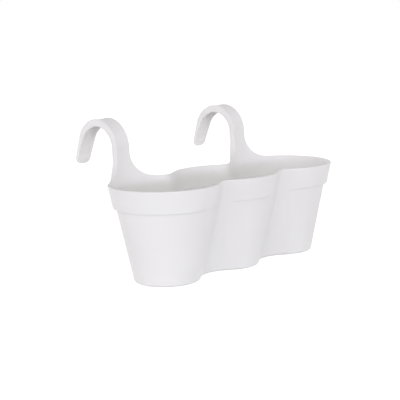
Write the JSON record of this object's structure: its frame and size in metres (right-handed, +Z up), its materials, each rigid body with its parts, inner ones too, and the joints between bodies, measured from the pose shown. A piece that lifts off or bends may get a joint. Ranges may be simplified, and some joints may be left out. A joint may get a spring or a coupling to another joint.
{
  "type": "balcony planter",
  "caption": "White plastic balcony planter: round pots run together in one trough, moulded hooks that go over a rail, a lift-out drainage plate and drain plugs.",
  "frame": {"origin": "centre of the middle pad under the middle pot, on the surface that the trough stands on", "axes": "+X along the row of pots, +Y back towards the rail and the hooks, +Z up"},
  "size_m": [0.4566, 0.2841, 0.2475],
  "materials": {
    "white_plastic": "satin moulded polypropylene, white",
    "plug_plastic": "matte soft polyethylene, off-white"
  },
  "bodies": {
    "planter": {"trough": "white_plastic"},
    "plate": {"drainage_plate": "white_plastic"},
    "plug_left": {"drain_plug_left": "plug_plastic"},
    "plug_middle": {"drain_plug_middle": "plug_plastic"},
    "plug_right": {"drain_plug_right": "plug_plastic"}
  },
  "joints": [
    {"name": "plate_lift", "type": "slide", "parent": "planter", "child": "plate", "axis": [0, 0, 1], "range_m": [0, 0.24]},
    {"name": "plug_pull_left", "type": "slide", "parent": "planter", "child": "plug_left", "axis": [0, 0, -1], "range_m": [0, 0.03]},
    {"name": "plug_pull_middle", "type": "slide", "parent": "planter", "child": "plug_middle", "axis": [0, 0, -1], "range_m": [0, 0.03]},
    {"name": "plug_pull_right", "type": "slide", "parent": "planter", "child": "plug_right", "axis": [0, 0, -1], "range_m": [0, 0.03]}
  ]
}
